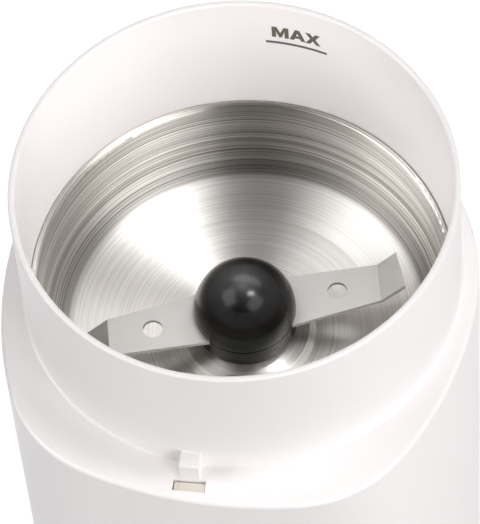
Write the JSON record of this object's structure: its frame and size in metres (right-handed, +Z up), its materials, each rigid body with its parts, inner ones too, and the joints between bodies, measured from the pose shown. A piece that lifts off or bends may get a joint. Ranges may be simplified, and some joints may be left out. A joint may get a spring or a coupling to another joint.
{
  "type": "electric blade coffee grinder",
  "caption": "Small electric blade grinder without its lid: white upright body with a round collar, steel bowl, two-armed blade under a black dome nut, push button in front.",
  "frame": {"origin": "on the table under the spindle's axis, which is also the middle of the bounding box's underside", "axes": "+Z up along the spindle, -Y towards the front with the slot and the push button, +Y towards the cord inlet"},
  "size_m": [0.087, 0.0988, 0.14],
  "materials": {
    "white_shell": "glossy moulded, warm white",
    "bowl_steel": "brushed round the axis",
    "silicone_white": "matte white silicone",
    "dark_rubber": "matte",
    "carrier_grey": "matte moulded",
    "zinc_steel": "bright zinc",
    "bracket_alloy": "as cast",
    "sintered_bronze": "dull",
    "lamination_steel": "stacked sheets, oiled",
    "coil_copper": "enamelled wire",
    "holder_brass": "pressed",
    "carbon": "graphite",
    "spring_steel": "bright wire",
    "switch_black": "matte moulded",
    "white_cover": "matte moulded, warm white",
    "capacitor_yellow": "dipped",
    "shaft_steel": "ground",
    "commutator_copper": "turned",
    "fan_plastic": "matte moulded",
    "hub_black": "glossy black",
    "blade_steel": "satin",
    "plunger_cream": "satin cream",
    "pin_red": "matte moulded",
    "button_grey": "satin grey"
  },
  "bodies": {
    "housing": {"housing_shell": "white_shell", "grinding_bowl": "bowl_steel", "bowl_gasket": "silicone_white", "shaft_seal": "dark_rubber", "motor_carrier": "carrier_grey", "carrier_screws": "zinc_steel", "bowl_nuts": "zinc_steel", "mount_bushes": "dark_rubber", "motor_bolts": "zinc_steel", "motor_nuts": "zinc_steel", "upper_bracket": "bracket_alloy", "upper_bearing": "sintered_bronze", "lower_bracket": "bracket_alloy", "lower_bearing": "sintered_bronze", "stator_core": "lamination_steel", "field_coils": "coil_copper", "brush_holders": "holder_brass", "carbon_brushes": "carbon", "brush_springs": "spring_steel", "plunger_spring": "spring_steel", "button_spring": "spring_steel", "switch_bracket": "carrier_grey", "bracket_screws": "zinc_steel", "safety_switch": "switch_black", "power_switch": "switch_black", "base_cover": "white_cover", "base_screws": "zinc_steel", "rubber_feet": "dark_rubber", "cord_inlet_bush": "dark_rubber", "suppression_capacitor": "capacitor_yellow"},
    "spindle": {"motor_shaft": "shaft_steel", "armature_core": "lamination_steel", "armature_winding": "coil_copper", "commutator": "commutator_copper", "cooling_fan": "fan_plastic", "blade_seat": "hub_black", "blade": "blade_steel", "blade_hub_cap": "hub_black"},
    "interlock": {"interlock_plunger": "plunger_cream"},
    "safety_lever": {"safety_lever": "spring_steel"},
    "safety_pin": {"safety_pin": "pin_red"},
    "button": {"push_button": "button_grey"},
    "power_lever": {"power_lever": "spring_steel"},
    "power_pin": {"power_pin": "pin_red"}
  },
  "joints": [
    {"name": "spindle_spin", "type": "hinge", "parent": "housing", "child": "spindle", "pos_m": [0, 0, 0.097], "axis": [0, 0, 1], "continuous": true},
    {"name": "interlock_slide", "type": "slide", "parent": "housing", "child": "interlock", "axis": [0, 0, -1], "range_m": [0, 0.003], "stiffness_N_per_m": 400, "springref_m": -0.004, "deforming": ["plunger_spring"]},
    {"name": "safety_lever_swing", "type": "hinge", "parent": "housing", "child": "safety_lever", "pos_m": [0.014, -0.04, 0.084], "axis": [0, -1, 0], "range_deg": [0, 13]},
    {"name": "safety_pin_slide", "type": "slide", "parent": "housing", "child": "safety_pin", "axis": [0, 0, -1], "range_m": [0, 0.0013]},
    {"name": "button_slide", "type": "slide", "parent": "housing", "child": "button", "axis": [0, 1, 0], "range_m": [0, 0.003], "stiffness_N_per_m": 500, "springref_m": -0.003, "deforming": ["button_spring"]},
    {"name": "power_lever_swing", "type": "hinge", "parent": "housing", "child": "power_lever", "pos_m": [0.014, -0.036, 0.058], "axis": [0, 0, -1], "range_deg": [0, 13]},
    {"name": "power_pin_slide", "type": "slide", "parent": "housing", "child": "power_pin", "axis": [0, 1, 0], "range_m": [0, 0.0013]}
  ],
  "couplings": [
    {"joint": "safety_lever_swing", "follows": "interlock_slide", "rad_per_m": 70.364},
    {"joint": "safety_pin_slide", "follows": "interlock_slide", "ratio": 0.42857},
    {"joint": "power_lever_swing", "follows": "button_slide", "rad_per_m": 70.364},
    {"joint": "power_pin_slide", "follows": "button_slide", "ratio": 0.42857}
  ]
}
